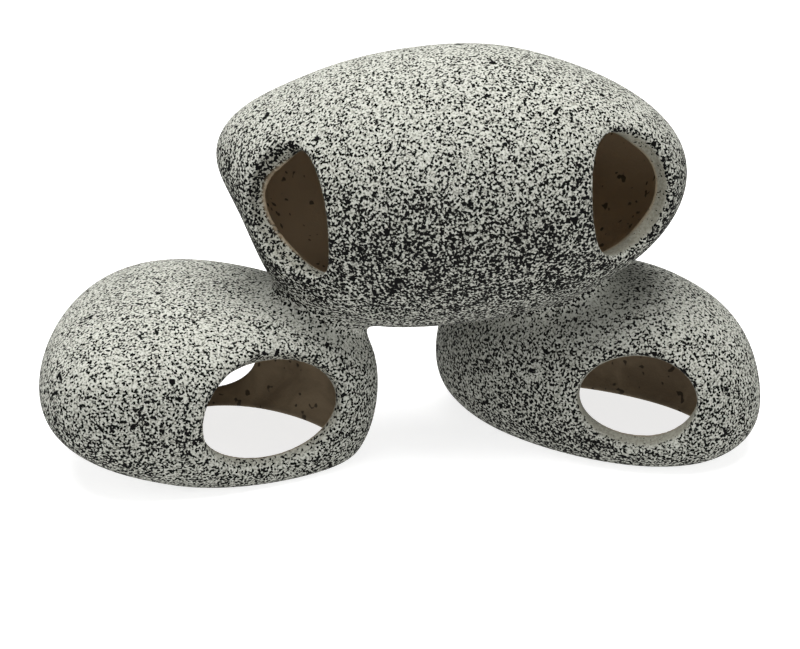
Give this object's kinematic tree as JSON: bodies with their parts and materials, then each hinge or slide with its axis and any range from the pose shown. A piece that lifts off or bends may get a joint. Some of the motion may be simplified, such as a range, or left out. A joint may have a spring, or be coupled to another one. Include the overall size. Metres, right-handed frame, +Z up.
{
  "type": "aquarium cave ornament",
  "caption": "Cluster of hollow resin pebbles with speckled stone finish and round cave mouths, for fish to swim through and hide in.",
  "frame": {"origin": "middle of the base, on the surface that the two lower pebbles stand on", "axes": "+Z up; +X along the cluster, from the lower left pebble to the lower right one; -Y is the front with the mouths"},
  "size_m": [0.2234, 0.1002, 0.127],
  "materials": {
    "speckled_resin": "matt grey stone coating with black flecks over brown cast resin",
    "bond_resin": "matt grey resin filler under the same coating"
  },
  "bodies": {
    "root": {"upper_stone": "speckled_resin", "lower_left_stone": "speckled_resin", "lower_right_stone": "speckled_resin", "left_bond_fillet": "bond_resin", "right_bond_fillet": "bond_resin"}
  },
  "joints": []
}
